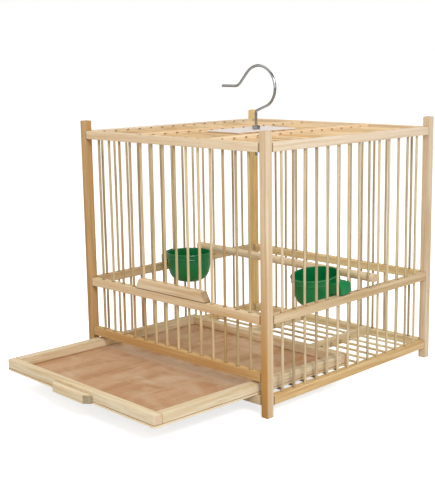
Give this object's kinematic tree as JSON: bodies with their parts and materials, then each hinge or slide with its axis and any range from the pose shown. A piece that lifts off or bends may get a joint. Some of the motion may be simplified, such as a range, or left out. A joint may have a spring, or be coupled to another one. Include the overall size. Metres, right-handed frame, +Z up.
{
  "type": "birdcage",
  "caption": "Square wooden birdcage with round bars, a lift-up barred door, a slide-out tray, green hanging cups, a perch and a swivelling wire hook.",
  "frame": {"origin": "on the ground, under the middle of the bounding box of the whole object with its tray pulled out as pictured", "axes": "+Z up, the front with the door and the tray faces -Y, +X to the right of someone facing the front"},
  "size_m": [0.3056, 0.4386, 0.3642],
  "materials": {
    "pine": "bare sanded softwood",
    "bar_wood": "bare split bamboo or softwood",
    "amber_wood": "bare softwood, warmer in tone",
    "plywood": "bare thin plywood",
    "green_plastic": "semi-gloss moulded plastic",
    "white_sheet": "satin sheet",
    "chrome": "bright plated wire",
    "nut_steel": "dull plated steel"
  },
  "bodies": {
    "frame": {"post_front_left": "pine", "post_front_right": "pine", "post_back_left": "pine", "post_back_right": "pine", "top_rail_front": "pine", "top_rail_back": "pine", "top_rail_left": "pine", "top_rail_right": "pine", "bottom_rail_front": "pine", "bottom_rail_back": "pine", "bottom_rail_left": "pine", "bottom_rail_right": "pine", "gate_rail": "pine", "mid_rail_front": "pine", "grille_left": "bar_wood", "grille_right": "bar_wood", "grille_back": "bar_wood", "front_bar_1": "bar_wood", "front_bar_2": "bar_wood", "front_bar_3": "bar_wood", "front_bar_4": "bar_wood", "front_bar_5": "bar_wood", "front_bar_6": "bar_wood", "front_bar_7": "bar_wood", "front_bar_8": "bar_wood", "roof_grille": "amber_wood", "floor_grille": "pine", "hook_plate": "white_sheet", "hook_washer": "nut_steel"},
    "door": {"lift_door": "bar_wood"},
    "tray": {"tray_board": "plywood", "tray_wall_front": "pine", "tray_wall_back": "pine", "tray_wall_left": "pine", "tray_wall_right": "pine", "tray_handle": "pine"},
    "hook": {"hook_wire": "chrome", "hook_nut_upper": "nut_steel", "hook_nut_lower": "nut_steel"},
    "left_cup": {"left_cup": "green_plastic"},
    "right_cup": {"right_cup": "green_plastic"},
    "perch": {"perch": "pine"}
  },
  "joints": [
    {"name": "tray_slide", "type": "slide", "parent": "frame", "child": "tray", "axis": [0, -1, 0], "range_m": [-0.13, 0.11]},
    {"name": "door_lift", "type": "slide", "parent": "frame", "child": "door", "axis": [0, 0, 1], "range_m": [0, 0.15]},
    {"name": "hook_turn", "type": "hinge", "parent": "frame", "child": "hook", "pos_m": [0, 0.06588, 0.31], "axis": [0, 0, 1], "continuous": true},
    {"name": "left_cup_lift", "type": "slide", "parent": "frame", "child": "left_cup", "axis": [0, 0, 1], "range_m": [0, 0.14]},
    {"name": "right_cup_lift", "type": "slide", "parent": "frame", "child": "right_cup", "axis": [0, 0, 1], "range_m": [0, 0.14]},
    {"name": "perch_lift", "type": "slide", "parent": "frame", "child": "perch", "axis": [0, 0, 1], "range_m": [-0.006, 0.14]}
  ]
}
